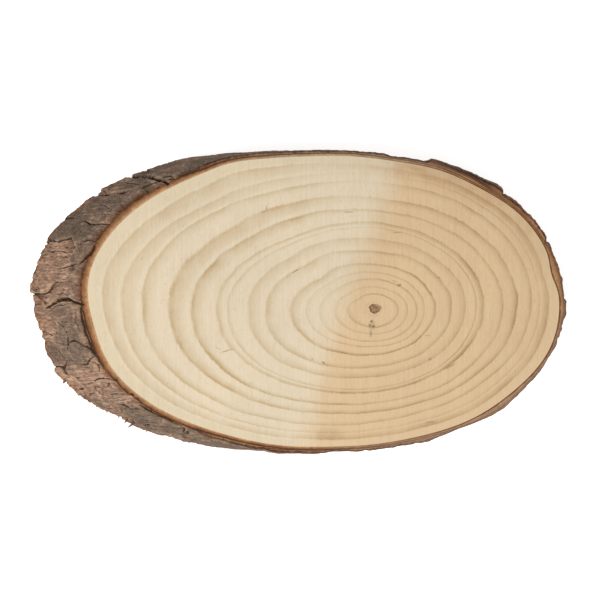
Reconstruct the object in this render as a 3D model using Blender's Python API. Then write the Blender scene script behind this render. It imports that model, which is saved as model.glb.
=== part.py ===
"""Wood slice: an oval disc sawn aslant from a small trunk, with its bark still on.

The trunk leans towards +X, and two level saw cuts leave an oval slice that lies flat. Its wall slopes
outwards at -X, where the bark faces up, and runs in under the slice at +X.
Places on the bark are a direction round the trunk, in degrees from +X, and a depth along the trunk
below the upper cut, in millimetres.
"""

import math

import bmesh
import bpy
import numpy as np

MM = 0.001

# The trunk and the two saw cuts
WOOD_RADIUS = 73.4 * MM
LEAN = math.radians(51.5)
THICKNESS = 20.0 * MM

# How far the wood swells or sinks from a true circle: direction, height in mm, width in degrees
WOOD_SWELLS = (
    (14, 0.8, 16),
    (38, 2.2, 16),
    (60, 1.6, 10),
    (93, -0.7, 9),
    (112, 1.2, 7),
    (138, 1.3, 16),
    (190, -1.9, 15),
    (246, -0.7, 14),
    (272, -0.8, 10),
    (308, 1.6, 14),
    (338, 1.7, 20),
)

# The pith: its place on the upper cut from the oval's middle, its half sizes and its pit
PITH_AT = (27.2 * MM, -3.5 * MM)
PITH_HALF_SIZE = (3.4 * MM, 2.7 * MM)
PITH_DEPTH = 0.6 * MM

# Bark thicknesses, square to the trunk, in mm: the inner bark is thickest at -X
INNER_BARK = 1.55
INNER_BARK_CHANGE = 0.55
CRACK_FLOOR = 0.15
CRACK_WIDTH = 1.5
BARK_GAP = 0.3

# Plates that show from above: direction, depth, half width in degrees, half length in mm, height in mm,
# and how much the height grows towards a larger direction and towards a larger depth
SEEN_PLATES = (
    (34.0, 12.0, 9.0, 20.0, 2.2, 0.10, 0.00),
    (54.0, 8.0, 10.0, 24.0, 3.7, -0.38, 0.00),
    (69.0, 6.0, 5.0, 18.0, 1.5, 0.00, 0.00),
    (78.0, 10.0, 4.5, 18.0, 1.9, 0.00, 0.00),
    (89.0, 10.0, 6.5, 20.0, 1.8, 0.10, 0.00),
    (101.0, 14.0, 6.0, 22.0, 2.2, 0.00, 0.10),
    (114.0, 16.0, 11.0, 22.0, 1.9, 0.25, 0.10),
    (122.8, 30.0, 2.6, 7.0, 3.3, 0.10, 0.10),
    (131.6, 21.0, 5.0, 15.0, 2.3, -0.10, 0.20),
    (133.0, 1.0, 3.5, 5.0, 0.8, 0.00, 0.20),
    (143.5, 16.0, 7.0, 24.0, 1.7, -0.25, 0.10),
    (153.5, 18.0, 4.6, 20.0, 1.8, 0.30, 0.10),
    (161.5, 3.0, 5.5, 7.5, 1.4, 0.00, 0.20),
    (166.5, 23.0, 8.5, 13.5, 1.4, 0.10, 0.10),
    (174.5, 32.0, 1.7, 5.0, 3.0, 0.00, 0.10),
    (178.0, 12.0, 4.0, 15.0, 1.0, 0.10, -0.30),
    (185.5, 27.0, 6.5, 9.0, 1.5, 0.10, 0.10),
    (190.0, 11.0, 8.5, 9.0, 1.9, 0.10, -0.10),
    (197.5, 12.5, 4.5, 9.0, 2.0, 0.10, -0.20),
    (199.0, 28.0, 6.5, 8.0, 1.4, 0.10, 0.10),
    (208.0, 14.0, 6.0, 11.0, 1.6, -0.10, 0.15),
    (211.0, 30.0, 4.8, 7.0, 2.5, -0.10, 0.15),
    (217.0, 6.0, 5.5, 10.0, 1.5, 0.10, 0.10),
    (222.0, 25.0, 6.5, 10.0, 1.7, -0.10, 0.10),
    (228.5, 11.0, 7.0, 13.0, 1.9, -0.10, 0.10),
    (231.0, 31.0, 1.8, 4.5, 3.3, 0.00, 0.10),
    (238.0, 24.0, 5.5, 14.0, 2.4, 0.10, 0.10),
    (247.0, 14.0, 6.0, 20.0, 2.0, 0.10, 0.10),
    (254.5, 14.0, 4.5, 18.0, 2.0, -0.10, 0.00),
)

# Plates that the photo hides: where they start and end, their sizes and a seed
FREE_FROM = 258.0
FREE_TO = 382.0
FREE_HALF_WIDTH = (4.2, 7.5)
FREE_HALF_LENGTH = (9.0, 17.0)
FREE_HEIGHT = (1.3, 2.3)
FREE_TILT = 0.2
FREE_SHIFT = 1.5
FREE_STEP = 1.8
FREE_FIRST_DEPTH = (-6.0, 6.0)
FREE_LAST_DEPTH = 40.0
PLATE_SEED = 51

# Waves that bend the plates' borders: size, turn in radians for each mm of depth, and waves round the trunk
WAVES_IN_DIRECTION = ((1.1, 0.19, 6), (0.5, 0.48, 0))
WAVES_IN_DEPTH = ((1.4, 0.0, 21), (0.6, 0.0, 52))

# Stretches where the outer bark has flaked off along the upper cut: from and to which direction, how far
# down, and how much of its height is left at the cut
FLAKED = (
    (118.0, 242.0, 4.0, 0.20),
    (318.0, 384.0, 5.0, 0.35),
)
FLAKED_EASE = 8.0

# Mesh sizes
WOOD_STEPS = 180
RING_STEPS = 360
WALL_LEVELS = 9
RING_POINTS = WALL_LEVELS + 3

SHARP_ANGLE = math.radians(40.0)
WELD_DISTANCE = 0.01 * MM

WOOD_COLOUR = (0.686, 0.546, 0.372, 1.0)
WOOD_ROUGHNESS = 0.62
BARK_COLOUR = (0.216, 0.138, 0.094, 1.0)
BARK_ROUGHNESS = 0.88


def material(name, colour, roughness):
    """A matt natural surface in one colour."""
    made = bpy.data.materials.new(name)
    made.use_nodes = True
    shader = made.node_tree.nodes["Principled BSDF"]
    shader.inputs["Base Color"].default_value = colour
    shader.inputs["Roughness"].default_value = roughness
    shader.inputs["Metallic"].default_value = 0.0
    return made


def turn_between(direction, other):
    """Degrees from one direction to another, the short way round."""
    return (direction - other + 180.0) % 360.0 - 180.0


def smooth_step(value):
    """0 below 0, 1 above 1, and a soft slope between."""
    value = np.clip(value, 0.0, 1.0)
    return value * value * (3.0 - 2.0 * value)


def wood_swell(direction):
    """How much the wood's radius differs from WOOD_RADIUS, in mm."""
    swell = np.zeros_like(direction)
    for middle, height, width in WOOD_SWELLS:
        swell += height * np.exp(-((turn_between(direction, middle) / width) ** 2))
    return swell


def outline(direction, thickness_mm):
    """Points of a level cut through the trunk, thickness_mm outside the wood and square to the trunk."""
    angle = np.radians(direction)
    grown = 1.0 + wood_swell(direction) * MM / WOOD_RADIUS
    long_half = WOOD_RADIUS / math.cos(LEAN)
    normal_x = math.cos(LEAN) * np.cos(angle)
    normal_y = np.sin(angle)
    reach = thickness_mm * MM / (normal_x**2 + normal_y**2)
    x = long_half * grown * np.cos(angle) + reach * normal_x
    y = WOOD_RADIUS * grown * np.sin(angle) + reach * normal_y
    return x, y


def inner_bark(direction):
    """Thickness of the smooth inner bark, in mm."""
    return INNER_BARK - INNER_BARK_CHANGE * np.cos(np.radians(direction))


def free_plates():
    """Plates in uneven rows over the bark that the photo hides."""
    draw = np.random.default_rng(PLATE_SEED)
    plates = []
    direction = FREE_FROM
    while direction < FREE_TO:
        half_width = draw.uniform(*FREE_HALF_WIDTH)
        depth = draw.uniform(*FREE_FIRST_DEPTH)
        while depth < FREE_LAST_DEPTH:
            half_length = draw.uniform(*FREE_HALF_LENGTH)
            middle = direction + half_width + draw.uniform(-FREE_SHIFT, FREE_SHIFT)
            height = draw.uniform(*FREE_HEIGHT)
            tilts = draw.uniform(-FREE_TILT, FREE_TILT, 2)
            plates.append((middle, depth, half_width, half_length, height, *tilts))
            depth += FREE_STEP * half_length
        direction += FREE_STEP * half_width
    return plates


def waves(kinds, direction, depth):
    """The sum of some waves at arrays of places."""
    total = np.zeros_like(direction)
    for size, per_mm, round_trunk in kinds:
        total += size * np.sin(per_mm * depth + round_trunk * np.radians(direction))
    return total


def plate_height(direction, depth):
    """Height of the outer bark over the inner bark, in mm, for arrays of places.

    Each place belongs to the plate that it is deepest in, in that plate's own half sizes, so the borders
    curve like those of scales, and a crack runs along each border.
    """
    bent_direction = direction + waves(WAVES_IN_DIRECTION, direction, depth)
    bent_depth = depth + waves(WAVES_IN_DEPTH, direction, depth)
    plates = np.array(list(SEEN_PLATES) + free_plates())
    across = turn_between(bent_direction[..., None], plates[:, 0]) / plates[:, 2]
    along = (bent_depth[..., None] - plates[:, 1]) / plates[:, 3]
    distance = np.hypot(across, along)
    order = np.argsort(distance, axis=-1)
    own = order[..., :1]
    nearest = np.take_along_axis(distance, own, -1)[..., 0]
    second = np.take_along_axis(distance, order[..., 1:2], -1)[..., 0]
    across = np.take_along_axis(across, own, -1)[..., 0]
    along = np.take_along_axis(along, own, -1)[..., 0]
    plate = plates[own[..., 0]]
    to_border = (second - nearest) * np.radians(plate[..., 2]) * WOOD_RADIUS / MM / 2.0
    top = plate[..., 4] * (1.0 + plate[..., 5] * across + plate[..., 6] * along)
    top = np.maximum(top, CRACK_FLOOR)
    return CRACK_FLOOR + (top - CRACK_FLOOR) * smooth_step(to_border / CRACK_WIDTH)


def flaked(direction, depth):
    """What is left of the outer bark's height near the upper cut, from 0 to 1."""
    left = np.ones_like(direction)
    for start, end, reach, share in FLAKED:
        past_start = (direction - start) % 360.0
        inside = smooth_step(past_start / FLAKED_EASE) * smooth_step((end - start - past_start) / FLAKED_EASE)
        left *= 1.0 - inside * (1.0 - share) * (1.0 - smooth_step(depth / reach))
    return left


def bark_thickness(direction, height):
    """Whole thickness of the bark in mm, in a direction and at a height over the lower cut in metres."""
    depth = (THICKNESS - height) / MM / math.cos(LEAN)
    return inner_bark(direction) + plate_height(direction, depth) * flaked(direction, depth)


def leaned(points):
    """Points of a level slice slid along the leaning trunk to their own height."""
    slid = points.copy()
    slid[:, 0] += (points[:, 2] - THICKNESS) * math.tan(LEAN)
    return slid


def make_wood(name):
    """The wood: its outline extruded, then leaned like the trunk."""
    direction = np.arange(WOOD_STEPS) * 360.0 / WOOD_STEPS
    x, y = outline(direction, 0.0)
    curve = bpy.data.curves.new(name, "CURVE")
    curve.dimensions = "2D"
    curve.fill_mode = "BOTH"
    curve.extrude = THICKNESS / 2.0
    spline = curve.splines.new("POLY")
    spline.points.add(WOOD_STEPS - 1)
    spline.points.foreach_set("co", np.column_stack([x, y, 0 * x, 1 + 0 * x]).ravel())
    spline.use_cyclic_u = True
    holder = bpy.data.objects.new(name + "_outline", curve)
    bpy.context.scene.collection.objects.link(holder)
    bpy.context.view_layer.update()
    evaluated = holder.evaluated_get(bpy.context.evaluated_depsgraph_get())
    mesh = bpy.data.meshes.new_from_object(evaluated)
    bpy.data.objects.remove(holder)
    bpy.data.curves.remove(curve)
    weld(mesh)
    points = mesh_points(mesh)
    points[:, 2] += THICKNESS / 2.0
    mesh.vertices.foreach_set("co", leaned(points).ravel())
    return finished_object(name, mesh, material(name, WOOD_COLOUR, WOOD_ROUGHNESS))


def blank_ring():
    """A plain ring of RING_STEPS sections, with each point's step round it and place in its section."""
    shape = bmesh.new()
    middle = 2.0
    turn = 2.0 * math.pi / RING_POINTS
    angles = [turn * place for place in range(RING_POINTS)]
    section = [shape.verts.new((middle + math.cos(angle), 0.0, math.sin(angle))) for angle in angles]
    edges = [shape.edges.new((section[place - 1], section[place])) for place in range(RING_POINTS)]
    bmesh.ops.spin(
        shape,
        geom=section + edges,
        axis=(0.0, 0.0, 1.0),
        angle=2.0 * math.pi,
        steps=RING_STEPS,
        use_merge=True,
    )
    bmesh.ops.recalc_face_normals(shape, faces=shape.faces)
    mesh = bpy.data.meshes.new("blank_ring")
    shape.to_mesh(mesh)
    shape.free()
    x, y, z = mesh_points(mesh).T
    step = np.rint(np.arctan2(y, x) / (2.0 * math.pi) * RING_STEPS).astype(int) % RING_STEPS
    place = np.rint(np.arctan2(z, np.hypot(x, y) - middle) / turn).astype(int) % RING_POINTS
    return mesh, step, place


def make_bark(name):
    """The bark: a ring whose section gets a wall of plates and cracks, two sawn rims and an inner wall."""
    mesh, step, place = blank_ring()
    direction = np.arange(RING_STEPS) * 360.0 / RING_STEPS
    sections = np.zeros((RING_STEPS, RING_POINTS, 3))
    for level in range(WALL_LEVELS):
        height = THICKNESS * level / (WALL_LEVELS - 1)
        x, y = outline(direction, bark_thickness(direction, height))
        sections[:, level] = np.column_stack([x, y, np.full(RING_STEPS, height)])
    rims = ((inner_bark(direction), THICKNESS), (BARK_GAP, THICKNESS), (BARK_GAP, 0.0))
    for number, (thickness, height) in enumerate(rims, WALL_LEVELS):
        x, y = outline(direction, thickness)
        sections[:, number] = np.column_stack([x, y, np.full(RING_STEPS, height)])
    mesh.vertices.foreach_set("co", leaned(sections[step, place]).ravel())
    return finished_object(name, mesh, material(name, BARK_COLOUR, BARK_ROUGHNESS))


def weld(mesh):
    """Joins the caps of a filled curve to its walls."""
    shape = bmesh.new()
    shape.from_mesh(mesh)
    bmesh.ops.remove_doubles(shape, verts=shape.verts, dist=WELD_DISTANCE)
    shape.to_mesh(mesh)
    shape.free()


def mesh_points(mesh):
    """A mesh's points as rows of x, y and z."""
    points = np.zeros(len(mesh.vertices) * 3)
    mesh.vertices.foreach_get("co", points)
    return points.reshape(-1, 3)


def finished_object(name, mesh, look):
    """An object for a mesh, smooth except at its sawn edges and cracks."""
    mesh.name = name
    mesh.update()
    mesh.materials.clear()
    mesh.materials.append(look)
    mesh.shade_smooth()
    mesh.set_sharp_from_angle(angle=SHARP_ANGLE)
    return bpy.data.objects.new(name, mesh)


def cut_pith(wood, cutters):
    """A shallow pit at the pith in both sawn faces."""
    faces = (("upper", THICKNESS, 0.0, 1.0), ("lower", 0.0, -THICKNESS * math.tan(LEAN), -1.0))
    for face, height, shift, outwards in faces:
        bpy.ops.mesh.primitive_uv_sphere_add(segments=20, ring_count=10, radius=1.0)
        cutter = bpy.context.object
        cutter.name = f"pith_cutter_{face}"
        cutter.scale = (*PITH_HALF_SIZE, 2.0 * PITH_DEPTH)
        cutter.location = (PITH_AT[0] + shift, PITH_AT[1], height + outwards * PITH_DEPTH)
        cutter.hide_render = True
        cutter.display_type = "WIRE"
        move_to(cutter, cutters)
        pit = wood.modifiers.new(f"pith_{face}", "BOOLEAN")
        pit.operation = "DIFFERENCE"
        pit.object = cutter


def move_to(item, collection):
    """Leaves an object in one collection only."""
    for holder in list(item.users_collection):
        holder.objects.unlink(item)
    collection.objects.link(item)


def new_collection(name):
    """An empty collection in the scene."""
    made = bpy.data.collections.new(name)
    bpy.context.scene.collection.children.link(made)
    return made


def middle_of_box(items):
    """The middle, in plan, of the box round some objects whose meshes share one frame."""
    points = np.concatenate([mesh_points(item.data) for item in items])
    return (points.min(axis=0) + points.max(axis=0)) / 2.0


def main():
    """Builds the slice with its lowest face at height 0 and its box centred on the origin."""
    for item in list(bpy.data.objects):
        bpy.data.objects.remove(item)
    slice_parts = new_collection("wood_slice")
    cutters = new_collection("cutters")
    wood = make_wood("wood_disc")
    bark = make_bark("bark")
    for item in (wood, bark):
        slice_parts.objects.link(item)
    cut_pith(wood, cutters)
    middle = middle_of_box((wood, bark))
    for item in (*slice_parts.objects, *cutters.objects):
        item.location.x -= middle[0]
        item.location.y -= middle[1]
    bpy.context.view_layer.update()


main()
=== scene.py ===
"""Looks of a wood slice: an oval disc sawn aslant from a small trunk, with its bark still on.

Lengths are in millimetres until a mesh is made. A place on the bark is a direction round the trunk, in
degrees from +X, and a depth along the trunk below the upper cut. The slice leans: its trunk runs up
towards +X.
"""

import math

import bpy
import numpy as np
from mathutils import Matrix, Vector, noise


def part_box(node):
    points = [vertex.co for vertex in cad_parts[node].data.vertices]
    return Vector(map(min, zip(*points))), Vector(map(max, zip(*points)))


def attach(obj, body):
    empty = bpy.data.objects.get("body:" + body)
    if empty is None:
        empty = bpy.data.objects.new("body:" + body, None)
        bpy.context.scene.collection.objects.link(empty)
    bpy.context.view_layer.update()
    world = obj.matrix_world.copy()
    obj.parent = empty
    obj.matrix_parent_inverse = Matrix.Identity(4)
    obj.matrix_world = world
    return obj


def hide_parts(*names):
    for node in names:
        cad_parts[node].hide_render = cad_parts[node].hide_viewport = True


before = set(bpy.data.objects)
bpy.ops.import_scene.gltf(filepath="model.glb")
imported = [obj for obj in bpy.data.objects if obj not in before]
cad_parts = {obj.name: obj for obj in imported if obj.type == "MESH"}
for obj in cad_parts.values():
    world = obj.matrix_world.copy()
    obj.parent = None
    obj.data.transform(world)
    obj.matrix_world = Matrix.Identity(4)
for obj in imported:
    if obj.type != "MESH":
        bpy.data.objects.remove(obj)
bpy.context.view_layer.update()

MM = 0.001

# The trunk and the two saw cuts
WOOD_RADIUS = 73.4
LEAN = math.radians(51.5)
THICKNESS = 20.0

# How far the wood swells or sinks from a true circle: direction, height and width in degrees
WOOD_SWELLS = (
    (14, 0.8, 16),
    (11, -1.3, 6),
    (38, 2.2, 16),
    (60, 1.6, 10),
    (93, -0.7, 9),
    (112, 1.2, 7),
    (138, 0.3, 16),
    (190, -1.9, 15),
    (246, -0.7, 14),
    (272, -0.8, 10),
    (308, 1.6, 14),
    (338, 1.7, 20),
)

# The pith, measured from the oval's middle, and its pit. Each row of the pit has its size, its depth and its
# pith colour as shares of the whole; its edge has waves, each with a size, a count and a shift in radians
PITH_AT = (27.2, -3.5)
PITH_HALF_SIZE = (2.8, 2.25)
PITH_DEPTH = 0.6
PITH_CENTRE_DEPTH = 0.5
PITH_ROWS = (
    (0.25, 0.85, 1.0),
    (0.5, 1.0, 1.0),
    (0.72, 0.95, 1.0),
    (0.88, 0.75, 1.0),
    (0.98, 0.25, 0.9),
    (1.06, 0.0, 0.5),
    (1.22, 0.0, 0.0),
)
PITH_WAVES = ((0.07, 3, 0.6), (0.05, 7, 0.0), (0.03, 17, 1.0))
PITH_LOOKS = {"late": 0.3, "pith": 1.0, "tan": 0.7}

# Growth rings from the pith outwards. How far each reaches, in thousandths of the way to the edge, in each
# of RING_TURNS; how dark it ends on the right, at the top, on the left and at the bottom; and how much of it
# is late wood on the right and on the left
RING_TURNS = (0.0, 45.0, 90.0, 135.0, 151.0, 180.0, 210.0, 270.0, 315.0)
RINGS = (
    ((125, 104, 97, 85, 78, 94, 109, 140, 135), (0.7, 0.9, 0.6, 1.05), 0.45, 0.5),
    ((174, 152, 143, 130, 125, 136, 160, 185, 191), (0.5, 0.42, 0.38, 0.45), 0.4, 0.5),
    ((228, 204, 196, 178, 172, 192, 217, 243, 246), (0.65, 0.8, 0.45, 0.7), 0.45, 0.6),
    ((267, 249, 240, 222, 214, 238, 256, 280, 290), (0.5, 0.5, 0.3, 0.65), 0.45, 0.6),
    ((324, 304, 291, 274, 255, 289, 312, 340, 337), (0.95, 0.7, 1.2, 1.1), 0.45, 0.85),
    ((411, 395, 377, 361, 350, 383, 414, 428, 428), (0.8, 0.7, 0.75, 0.8), 0.45, 0.65),
    ((490, 468, 464, 434, 419, 445, 482, 499, 494), (0.72, 0.6, 0.75, 0.95), 0.7, 0.9),
    ((549, 538, 540, 487, 480, 517, 555, 588, 572), (0.7, 0.35, 0.5, 0.8), 0.3, 0.4),
    ((588, 575, 572, 512, 510, 552, 579, 613, 600), (1.3, 0.85, 0.75, 1.5), 0.85, 0.6),
    ((688, 662, 652, 610, 598, 641, 674, 694, 694), (0.5, 0.6, 1.5, 0.65), 0.35, 0.75),
    ((769, 749, 738, 696, 679, 719, 742, 760, 758), (0.9, 0.95, 1.35, 0.95), 0.6, 1.0),
    ((848, 855, 843, 785, 790, 817, 830, 838, 824), (0.68, 0.75, 0.85, 0.62), 0.5, 0.6),
    ((893, 908, 895, 846, 843, 890, 893, 895, 890), (0.35, 0.35, 0.95, 0.3), 0.5, 1.0),
    ((940, 954, 945, 940, 927, 952, 943, 945, 943), (1.05, 1.0, 0.85, 0.9), 0.9, 1.0),
)
PLAIN_LATE = 0.3

# How the rings wobble: share of the way to the edge, waves round the pith and shift in degrees
RING_WAVES = ((0.0018, 7, 40), (0.0012, 13, 0))

# Stretches of the rings, each with its middle and reach in degrees: wide late wood, faded and brown rings.
# The last two start at a ring and come in over a number of rings
WIDE_LATE = (155.0, 70.0)
FADED = (92.0, 42.0)
FADED_RINGS = (9.0, 2.5)
FADED_LOSS = 0.75
BROWN = (58.0, 66.0)
BROWN_RINGS = (11.5, 3.5)

# The tan half of the wood: where its soft border crosses each y, and the border's width
TAN_BORDER = ((-75.0, 6.0), (-50.0, 11.5), (-10.0, 20.0), (20.0, 33.0), (50.0, 46.0), (75.0, 54.0))
TAN_BLEND = 20.0

# Small marks on the upper face: x, y, half length, half width, turn in degrees and darkness
MARKS = (
    (38.5, -10, 0.95, 0.75, 0, 1),
    (37.6, -12, 0.85, 0.8, 0, 0.9),
    (39.4, -12.4, 0.9, 0.75, 0, 1),
    (38.1, -16, 0.8, 2.2, 0, 0.45),
    (38.6, -12, 1.9, 2.6, 0, 0.35),
    (52.3, 8.2, 1.3, 0.8, 15, 0.75),
    (49.6, 10.2, 2.4, 0.5, -20, 0.3),
    (14.4, -30.7, 1.1, 0.5, -35, 1),
    (16.3, -31.8, 0.9, 0.3, -20, 0.6),
    (8.8, -28.9, 0.45, 0.7, 0, 0.5),
    (0.4, 15.2, 2.3, 0.28, 32, 0.9),
    (-3.6, 12.4, 1.6, 0.22, 20, 0.4),
    (-14.2, 46.5, 0.3, 1.7, 8, 0.8),
    (-15.6, 44.9, 1.3, 0.35, 30, 0.5),
    (-7.9, 46.7, 0.5, 0.3, 0, 0.4),
    (-11, 45.4, 0.45, 0.3, 0, 0.35),
    (-33.9, -24.6, 3.6, 0.4, 16, 0.6),
    (-38.4, -23.3, 1.8, 0.3, -30, 0.35),
    (66.4, -17, 1.3, 0.4, 5, 0.5),
    (67.7, -28.9, 1.1, 0.7, 20, 0.6),
    (72.2, 12, 0.6, 0.35, -30, 0.8),
    (77.9, -32.3, 3.2, 0.7, 30, 0.5),
    (37.6, 52.2, 0.22, 0.9, 0, 0.6),
    (51.1, 34.5, 2.8, 0.35, 3, 0.55),
    (27.1, 44.7, 2.6, 0.6, 0, 0.4),
    (108.8, -13.2, 0.45, 0.35, 0, 0.8),
    (67.6, -60.3, 3, 0.8, 5, 0.35),
    (-76.4, 21.4, 0.4, 0.35, 0, 0.6),
    (-55.5, 38, 1.9, 0.25, 60, 0.3),
    (3, -48.2, 0.4, 0.3, 0, 0.5),
    (-101.5, 30, 0.3, 0.45, 0, 0.5),
    (17.5, -66.3, 8, 3.6, 0, 0.2),
    (60.5, 66.4, 4, 1.6, -12, 0.22),
)

# Bark thicknesses, square to the trunk: the inner bark is thickest at -X
INNER_BARK = 1.55
INNER_BARK_CHANGE = 0.55
INNER_BARK_LUMPS = ((11.0, 1.7, 6.0), (-3.0, 0.6, 6.0), (-43.0, 1.2, 8.0), (141.0, 0.8, 14.0))
CRACK_FLOOR = 0.15
CRACK_WIDTH = 1.1

# Plates that show from above: direction, depth, half width in degrees, half length, height, how much the
# height grows towards a larger direction and a larger depth, and tone from grey at 0 to reddish at 1
SEEN_PLATES = (
    (32.5, 12, 10, 20, 2, 0.25, 0, 0.5),
    (53, 8, 11, 24, 3.5, -0.12, 0, 0.2),
    (69, 6, 5, 18, 1.5, 0, 0, 0.5),
    (78, 10, 4.5, 18, 1.7, 0, 0, 0.6),
    (89, 10, 6.5, 20, 1.4, 0.1, 0, 0.5),
    (101, 14, 6, 22, 1.9, 0, 0.1, 0.2),
    (114, 16, 11, 22, 1.9, 0.25, 0.1, 0.15),
    (124, 30, 2.8, 7, 2.3, 0.1, 0.1, 0.1),
    (132.4, 21, 5.2, 15, 2.3, 0.05, 0.2, 0.28),
    (133, 1, 3.5, 5, 0.8, 0, 0.2, 0.3),
    (143.5, 16, 7, 24, 1.7, -0.25, 0.1, 0.15),
    (153.5, 18, 4.6, 20, 1.8, 0.3, 0.1, 0.05),
    (161.5, 3, 5.5, 7.5, 1.4, 0, 0.2, 0.2),
    (166.5, 23, 8.5, 13.5, 1.4, 0.1, 0.1, 0.9),
    (174.5, 32, 1.6, 4, 1.9, 0, 0.3, 0.9),
    (178, 12, 4, 15, 1, 0.1, -0.3, 0.65),
    (185.5, 27, 6.5, 9, 1.5, 0.1, 0.1, 0.8),
    (190, 11, 8.5, 9, 1.9, 0.1, -0.1, 0.3),
    (197.5, 12.5, 4.5, 9, 2, 0.1, -0.2, 0.25),
    (199, 28, 6.5, 8, 1.4, 0.1, 0.1, 0.6),
    (208, 14, 6, 11, 1.6, -0.1, 0.15, 0.85),
    (211, 30, 4.8, 7, 2.5, -0.1, 0.15, 0.95),
    (217, 6, 5.5, 10, 1.5, 0.1, 0.1, 0.7),
    (222, 25, 6.5, 10, 1.7, -0.1, 0.1, 0.5),
    (228.5, 11, 7, 13, 1.9, -0.1, 0.1, 0.15),
    (231, 31, 1.6, 4, 2.1, 0, 0.1, 0.7),
    (238, 24, 5.5, 14, 2.4, 0.1, 0.1, 0.2),
    (247, 14, 6, 20, 2, 0.1, 0.1, 0.2),
    (254.5, 14, 4.5, 18, 2, -0.1, 0, 0.3),
)

# Plates that the photo hides: where they start and end, their sizes and seeds
FREE_FROM = 258.0
FREE_TO = 382.0
FREE_HALF_WIDTH = (4.2, 7.5)
FREE_HALF_LENGTH = (9.0, 17.0)
FREE_HEIGHT = (1.3, 2.3)
FREE_TILT = 0.2
FREE_SHIFT = 1.5
FREE_STEP = 1.8
FREE_FIRST_DEPTH = (-6.0, 6.0)
FREE_LAST_DEPTH = 40.0
PLATE_SEED = 51
TONE_SEED = 7

# Waves that bend the plates' borders: size, turn in radians for each mm of depth, and waves round the trunk
WAVES_IN_DIRECTION = ((1.1, 0.19, 6), (0.5, 0.48, 0))
WAVES_IN_DEPTH = ((1.4, 0.0, 21), (0.6, 0.0, 52))

# Stretches where the outer bark has flaked off along the upper cut: from and to which direction, how far
# down, and how much of its height is left at the cut
FLAKED = (
    (118.0, 242.0, 4.0, 0.2),
    (296.0, 384.0, 6.0, 0.36),
)
FLAKED_EASE = 8.0

# Noise in the bark: how far it stretches along the trunk, the size of its lumps, its octaves and its seed.
# The rows of the relief are for bends, layers, flakes, fibres, grains, fissures, splits and sunken borders
RELIEF_NOISE = (
    (1.6, 5, 2, 61),
    (2.8, 8, 3, 3),
    (3.2, 3.6, 3, 71),
    (6, 1.1, 2, 11),
    (1.3, 1.1, 2, 23),
    (3, 5, 3, 83),
    (1.5, 11, 2, 31),
    (1.5, 9, 2, 47),
)
CRUMBLE_NOISE = (1, 4, 3, 41)
RIM_NOISE = (1, 1.2, 2, 53)

# What the noise does: how far it bends borders, and the heights of layers, flakes, fibres and grains. Cracks
# go no deeper than a share of the inner bark
BEND = 0.9
LAYER_STEPS = 3.5
LAYER_HEIGHT = 0.55
FLAKE_STEPS = 2.0
FLAKE_HEIGHT = 0.34
FIBRE_HEIGHT = 0.24
GRAIN_HEIGHT = 0.10
FISSURE_DEPTH = 0.60
FISSURE_WIDTH = 0.045
MM_PER_DEGREE = 1.28
DEEPEST_IN_INNER = 0.45

# Stretches of the bark, each with its middle and reach in degrees and how wide its full part is: rougher
# plates, plates with closed borders, and what the colours of the sawn rim follow
ROUGHER = (229.0, 18.0, 1.5)
CLOSED_BORDERS = (185.0, 15.0, 1.5)
RIM_STRETCHES = {
    "line": (0.0, 48.0, 2.0),
    "pale": (-42.0, 40.0, 1.5),
    "top": (84.0, 24.0, 1.5),
    "bulge": (54.0, 9.5, 1.5),
}

# Rows across a sawn rim: shares of the outer bark, then shares of the inner bark with the depth below the cut
UPPER_RIM = ((0.75, 0.5, 0.28, 0.12), ((1.02, 0.28), (0.88, 0.05), (0.5, 0.02), (0.12, 0.03)))
LOWER_RIM = ((0.6, 0.25), ((0.7, 0.0),))
CHIP = 0.5

# Cracks of their own: three places each (direction, depth), then width and depth
CRACK_STEPS = 8
CRACKS = (
    ((126.6, 33), (126.6, 20), (129.8, -1), 2.5, 2),
    ((122.5, 24), (121.8, 15.5), (120.8, 8), 0.6, 0.6),
    ((131.5, 29), (130.8, 22), (133, 10), 0.7, 0.9),
    ((136.8, 33), (137.4, 23), (135.8, 12), 2.6, 2.4),
    ((136.4, 20), (136.6, 12), (132.4, 6), 0.8, 1),
    ((149.5, 18), (150.8, 8.2), (150.3, -1), 0.9, 1.1),
    ((159, 0.3), (162.8, 0.9), (166.5, 3.2), 2, 1.2),
    ((168.6, 16), (167.6, 10), (166.6, 4), 0.7, 0.9),
    ((163, 30), (161.5, 22), (162.5, 13), 0.6, 0.5),
    ((182.4, 25), (179.2, 10), (182.5, -1), 2.2, 1.7),
    ((181.5, 1), (187.5, 1.4), (194, 0.9), 1, 1.1),
    ((183, 3.2), (188, 3.4), (191, 2.4), 0.7, 0.6),
    ((192.5, 0.8), (198, 1), (204, 0.4), 0.8, 0.8),
    ((187.4, 17.6), (191.6, 12.4), (197.5, 16), 1.5, 0.7),
    ((194.8, 12.5), (195.2, 5), (199.6, 0.5), 1.2, 1.3),
    ((202, 8), (203.2, 2.5), (206.8, 3.8), 0.7, 0.8),
    ((210.6, 13), (209.6, 2.5), (213, 0), 1, 1.2),
    ((216.4, 11), (216.6, 2), (220.8, 0), 1.1, 1.3),
    ((221, 14), (225, 6), (230, 1.5), 0.9, 1),
    ((222, 1.6), (226.5, 1.6), (232, 1), 1.6, 1.5),
    ((232, 1.5), (236, 3), (238.5, 9), 0.8, 1),
    ((231.2, 17), (232.6, 11), (234.4, 6.5), 1.1, 1.3),
    ((240, 20), (243, 8), (246, 0), 0.8, 1),
)

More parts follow.
